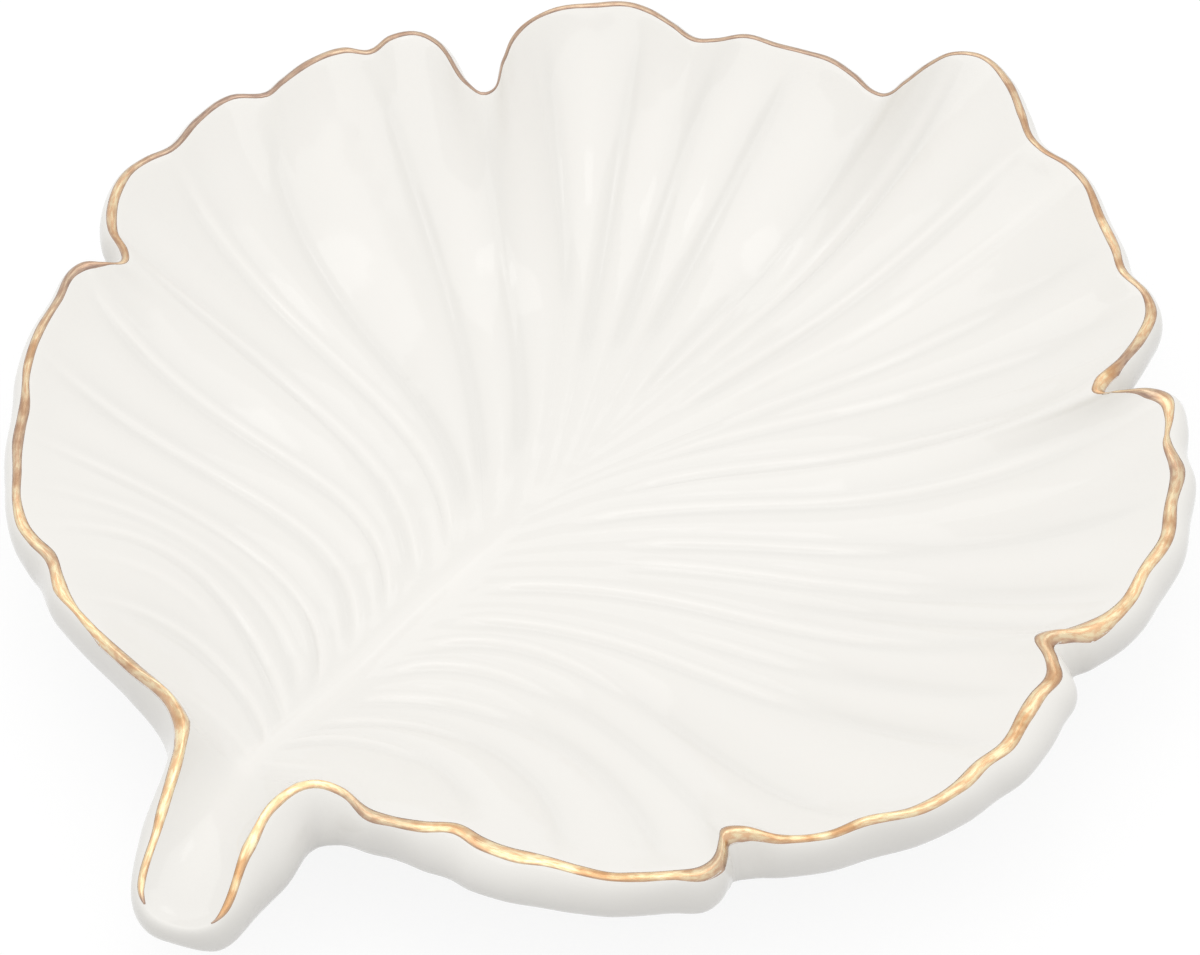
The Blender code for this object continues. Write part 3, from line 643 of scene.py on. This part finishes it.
# How the brush laid the line at places counted in vein pairs: its width, in shares of the usual one, and how
# thin the gold is there, where 1 lets the brown under it show.
RIGHT_GILT = (
    (-3, 0.4, 0.2), (-2, 0.5, 0.1), (-1.5, 0.75, 0), (-1, 1.25, 0), (-0.3, 1.45, 0), (0.3, 1.15, 0),
    (0.8, 0.9, 0.6), (1.3, 0.75, 0.4), (1.8, 0.95, 0), (2.3, 0.95, 0.2), (2.8, 1.05, 0), (3.3, 0.7, 0),
    (3.8, 0.6, 0), (4.3, 0.75, 0.1), (4.7, 1.4, 0.6), (5.1, 1.3, 0.2), (5.6, 0.6, 0), (6.3, 0.85, 0.1),
    (7.2, 1.15, 0), (7.8, 0.95, 0.3), (8.1, 2.0, 0.4), (8.4, 2.3, 0.2), (8.7, 1.3, 0.1), (9.1, 0.95, 0),
    (9.6, 0.9, 0.3), (9.85, 1.1, 0.6), (10.07, 0.25, 0.3), (10.4, 0.9, 0.1), (10.55, 1.5, 0.8),
    (10.75, 0.7, 0.6), (10.9, 0.5, 0.3), (11.3, 1.3, 0), (11.6, 0.9, 0.8), (12.1, 0.95, 0.2),
    (12.6, 0.55, 0.5), (13.5, 0.7, 0.2), (14.3, 0.45, 0.6), (14.8, 0.35, 0.4), (15.3, 0.65, 0.4),
    (16, 0.4, 0.6), (17, 0.35, 0.9),
)
LEFT_GILT = (
    (-3, 0.45, 0.2), (-1.5, 0.6, 0.1), (-1, 0.75, 0), (-0.6, 1.25, 0), (-0.2, 1.6, 0), (0.2, 2.4, 0.2),
    (0.8, 2.1, 0.4), (1.2, 1.1, 0.3), (1.6, 0.45, 0), (1.9, 0.35, 0), (2.3, 0.85, 0), (2.7, 0.7, 0.5),
    (3.2, 0.55, 0.1), (3.6, 0.5, 0.5), (4, 0.65, 0.6), (4.4, 0.8, 0.5), (4.8, 0.55, 0.4), (5.2, 0.6, 0.3),
    (5.8, 0.65, 0.8), (6.4, 0.9, 0.8), (6.8, 0.35, 0.6), (7.2, 0.8, 0.4), (7.8, 0.8, 0.3), (8.3, 0.55, 0.9),
    (9, 0.45, 1), (9.7, 0.65, 0.7), (10.3, 0.4, 0.8), (11.1, 0.45, 1), (11.6, 0.8, 0.9), (12.4, 0.6, 0.7),
    (13.5, 0.45, 0.8), (17, 0.4, 0.9),
)
gilt_first = round(TIP_STEPS * RIGHT_BARE)
gilt_last = COLUMNS - round(TIP_STEPS * LEFT_BARE)
gilt_columns = np.arange(gilt_first, gilt_last + 1)

rim_place = np.cumsum(np.linalg.norm(RIM - np.roll(RIM, 1, axis=0), axis=1))
left_place, left_laid, left_thin = zip(*LEFT_GILT)
right_place, right_laid, right_thin = zip(*RIGHT_GILT)
laid = np.where(ON_LEFT, np.interp(PAIR, left_place, left_laid), np.interp(PAIR, right_place, right_laid))
worn = np.where(ON_LEFT, np.interp(PAIR, left_place, left_thin), np.interp(PAIR, right_place, right_thin))
brush = laid * (1 + sum(swing * np.sin(rim_place / length + shift) for swing, length, shift in BRUSH_WAVES))
from_end = np.minimum(rim_place - rim_place[gilt_first], rim_place[gilt_last] - rim_place)
taper = POINT_WIDTH + (1 - POINT_WIDTH) * ease(from_end / GILT_POINT) ** 0.5
inner_width = GILT_WIDTH / 2 * brush * taper
outer_width = GILT_WIDTH / 2 * (OUTER_EVEN + (1 - OUTER_EVEN) * brush) * taper


def gilt_row(side, lift):
    """One line of the film: side runs from -1, its inner edge, over 0, the crest, to 1, its outer edge."""
    if side <= 0:
        t = 1 + side * inner_width / SMOOTH_LENGTH
        plan, height = bowl_plan(t), bowl_height(t)
    else:
        reach = side * np.minimum(outer_width, GILT_SHARE * BULGE)
        down = (1 - np.sqrt(1 - (reach / BULGE) ** 2)) / 2
        plan = RIM + OUTWARD * reach[:, None] + FILL * down[:, None]
        height = CREST - (LIP_HEIGHT + BELLY) * down
    row = np.concatenate([plan, (height + lift)[:, None]], axis=1)
    return row[gilt_columns]


def gilt_finish():
    """Bright gold lustre: brush streaks that run along the line and darker patches, which also paint in the
    gold's bright glints and dark reflections that the even surround doesn't give, and a thin, browner film
    at its edges.
    """
    gilt = Finish("gilt_lustre")
    bright_gold = (1.0, 0.87, 0.55, 1.0)
    deep_gold = (0.93, 0.59, 0.33, 1.0)
    dark_reflection_gold = (0.58, 0.31, 0.14, 1.0)
    light_brown = (0.52, 0.37, 0.28, 1.0)
    dark_brown = (0.36, 0.25, 0.20, 1.0)
    brushed = {"X": gilt.attribute("along"), "Y": gilt.attribute("across")}
    brushed = gilt.node("ShaderNodeCombineXYZ", brushed).outputs["Vector"]
    # Painted reflection: the brush streaks also paint bright glints and darker bands into the gold's colour.
    streak_and_glint = gilt.noise(scale=2.2, detail=3.0, roughness=0.6, place=brushed)
    streak_and_glint = gilt.range(streak_and_glint, low=0.42, high=0.58, to_low=0.0, to_high=1.0)
    # Painted dark reflections: darker, burnt-looking patches in the gold's colour.
    patch_and_dark_reflection = gilt.range(gilt.noise(scale=210.0, detail=3.0), low=0.5, high=0.62, to_low=0.0, to_high=0.8)
    gold = gilt.blend(patch_and_dark_reflection, gilt.blend(streak_and_glint, bright_gold, deep_gold), dark_reflection_gold)
    brown = gilt.blend(streak_and_glint, light_brown, dark_brown)
    shine = gilt.range(gilt.noise(scale=900.0), low=0.3, high=0.7, to_low=0.18, to_high=0.34)
    ripple = gilt.bump(gilt.noise(scale=3.5, place=brushed), distance=0.00006, strength=0.5)
    surface = gilt.bump(gilt.noise(scale=650.0, detail=3.0), distance=0.00006, strength=0.4, under=ripple)
    gilt.set(base_color=gilt.blend(gilt.attribute("thin"), gold, brown), metallic=1.0)
    gilt.set(roughness=shine, normal=surface)
    return gilt.material


sides = np.linspace(-1.0, 1.0, GILT_ACROSS + 1)
film = [gilt_row(side, GILT_FILM * (1 - side ** 4)) for side in sides]
seat = [gilt_row(side, -GILT_SINK) for side in sides[::-1]]
gilt_rows = np.array(film + seat + film[:1])

# The film is thin at its edges, at its two ends and where the brush barely touched the rim.
around_film = np.concatenate([sides, sides[::-1], sides[:1]])[:, None]
worn = worn + 1.0 - ease(from_end / WORN_END)
gilt_thin = WORN_EDGE * around_film ** 4 + worn[gilt_columns]
gilt_along = np.ones_like(around_film) * rim_place[gilt_columns] / STREAK_LENGTH
gilt_across = around_film * np.ones(len(gilt_columns))
gilt_skin = rolled_grid(gilt_rows, thin=np.clip(gilt_thin, 0.0, 1.0), along=gilt_along, across=gilt_across)
gilt_line = piece_from("gilt_line", gilt_skin, gilt_finish())
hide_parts("gilt_rim")


# The foot: a low ring of the same clay, wiped clean of glaze before firing so that the dish doesn't stick to
# the kiln shelf, and rounded by the sponge. It is dry and slightly sandy.
FOOT_WIDTH = 0.0045
FOOT_BEVEL = 0.0006
FOOT_STEPS = 160
FOOT_SHARP = math.radians(40)
foot_middle = (ring_high.x - ring_low.x - FOOT_WIDTH) / 2
foot_stretch = (ring_high.y - ring_low.y - FOOT_WIDTH) / 2 - foot_middle

foot = bmesh.new()
half = FOOT_WIDTH / 2
corners = []
for side, height in ((half, BASE_Z), (half, FOOT_BEVEL), (half - FOOT_BEVEL, 0.0),
                     (FOOT_BEVEL - half, 0.0), (-half, FOOT_BEVEL), (-half, BASE_Z)):
    corners.append(foot.verts.new((foot_middle + side, 0.0, height)))
section = [foot.edges.new(pair) for pair in zip(corners, corners[1:] + corners[:1])]
bmesh.ops.spin(foot, geom=corners + section, cent=(0, 0, 0), axis=(0, 0, 1), angle=2 * math.pi,
               steps=FOOT_STEPS, use_merge=True)
for vertex in foot.verts:
    radius = math.hypot(vertex.co.x, vertex.co.y)
    vertex.co.y *= (radius + foot_stretch) / radius
bmesh.ops.translate(foot, verts=foot.verts, vec=(*BLADE_MIDDLE, 0.0))
bmesh.ops.remove_doubles(foot, verts=foot.verts, dist=WELD)
bmesh.ops.recalc_face_normals(foot, faces=foot.faces)

clay = Finish("bare_clay")
light_clay = (0.74, 0.70, 0.62, 1.0)
dark_clay = (0.62, 0.57, 0.49, 1.0)
clay_tone = clay.noise(scale=90.0, detail=5.0, roughness=0.6)
clay_tone = clay.range(clay_tone, low=0.3, high=0.7, to_low=0.0, to_high=1.0)
grain = clay.bump(clay.noise(scale=2600.0, detail=4.0, roughness=0.7), distance=0.0001, strength=0.6)
clay.set(base_color=clay.blend(clay_tone, light_clay, dark_clay), roughness=0.85, normal=grain)
foot_piece = piece_from("clay_foot", foot, clay.material)
foot_piece.data.set_sharp_from_angle(angle=FOOT_SHARP)
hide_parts("foot_ring")


# The table: a plain sheet that runs well past the dish. It keeps the dish's soft shadow, and shows white to
# the camera and in the glaze's and gilt's reflections.
TABLE_SIZE = 3.0
TABLE_GLOW = 0.87
LIT_GREY = (0.48, 0.48, 0.48, 1.0)
SEEN_GREY = (0.15, 0.15, 0.15, 1.0)
WHITE = (1.0, 1.0, 1.0, 1.0)


def seen_rays(tree):
    """1 for rays from the camera and those that a mirror or glass sends on, and 0 for all others."""
    rays = tree.nodes.new("ShaderNodeLightPath").outputs
    seen = rays["Is Camera Ray"]
    for kind in ("Is Glossy Ray", "Is Transmission Ray"):
        either = tree.nodes.new("ShaderNodeMath")
        either.operation = "MAXIMUM"
        tree.links.new(seen, either.inputs[0])
        tree.links.new(rays[kind], either.inputs[1])
        seen = either.outputs[0]
    return seen


table = bmesh.new()
bmesh.ops.create_grid(table, x_segments=1, y_segments=1, size=TABLE_SIZE / 2)
table_mesh = bpy.data.meshes.new("table_top")
table.to_mesh(table_mesh)
table.free()
table_top = bpy.data.objects.new("table_top", table_mesh)
bpy.context.collection.objects.link(table_top)
sheet = Finish("table_sheet")
seen = seen_rays(sheet.tree)
glow = sheet.node("ShaderNodeMath", {0: seen, 1: TABLE_GLOW}, operation="MULTIPLY").outputs[0]
sheet.set(base_color=sheet.blend(seen, LIT_GREY, SEEN_GREY), roughness=0.9, specular_ior_level=0.0)
sheet.set(emission_color=WHITE, emission_strength=glow)
table_mesh.materials.append(sheet.material)


# The studio: an even white surround, dimmer than it looks to the camera, one big soft box overhead, and a
# small one behind it that leaves the glaze its highlights. Each is given by its side, place and power.
SOFTBOXES = {
    "softbox": (0.9, (-0.28, 0.16, 1.04), 1.4),
    "highlight_box": (0.2, (-0.21, 0.32, 1.04), 0.1),
}
SURROUND = 0.9

world = bpy.data.worlds.new("studio")
bpy.context.scene.world = world
world.use_nodes = True
room = world.node_tree
level = room.nodes.new("ShaderNodeMapRange")
level.inputs["To Min"].default_value = SURROUND
room.links.new(seen_rays(room), level.inputs["Value"])
room.links.new(level.outputs["Result"], room.nodes["Background"].inputs["Strength"])
room.nodes["Background"].inputs["Color"].default_value = WHITE

for name, (size, place, watts) in SOFTBOXES.items():
    softbox = bpy.data.lights.new(name, "AREA")
    softbox.size = size
    softbox.energy = watts
    lamp = bpy.data.objects.new(name, softbox)
    lamp.location = place
    lamp.rotation_euler = Vector(place).to_track_quat("Z", "Y").to_euler()
    bpy.context.collection.objects.link(lamp)


# The camera: over the stem's right side, 47 degrees above the table and 0.59 m away, with a long lens.
VIEW_AZIMUTH = math.radians(35)
VIEW_ELEVATION = math.radians(47)
VIEW_DISTANCE = 0.5877
VIEW_LENS = 160.65
VIEW_SENSOR = 36.0
VIEW_SHIFT = (0.0078, -0.01455)
look_at = Vector((BLADE_MIDDLE[0] + VIEW_SHIFT[0], BLADE_MIDDLE[1] + VIEW_SHIFT[1], CREST_Z))
level_way = Vector((math.sin(VIEW_AZIMUTH), -math.cos(VIEW_AZIMUTH), 0.0))
back = level_way * math.cos(VIEW_ELEVATION) + Vector((0.0, 0.0, math.sin(VIEW_ELEVATION)))
camera_data = bpy.data.cameras.new("camera")
camera_data.lens = VIEW_LENS
camera_data.sensor_width = VIEW_SENSOR
camera = bpy.data.objects.new("camera", camera_data)
camera.location = look_at + back * VIEW_DISTANCE
camera.rotation_euler = (-back).to_track_quat("-Z", "Y").to_euler()
bpy.context.collection.objects.link(camera)
bpy.context.scene.camera = camera
bpy.context.scene.view_settings.view_transform = "Standard"
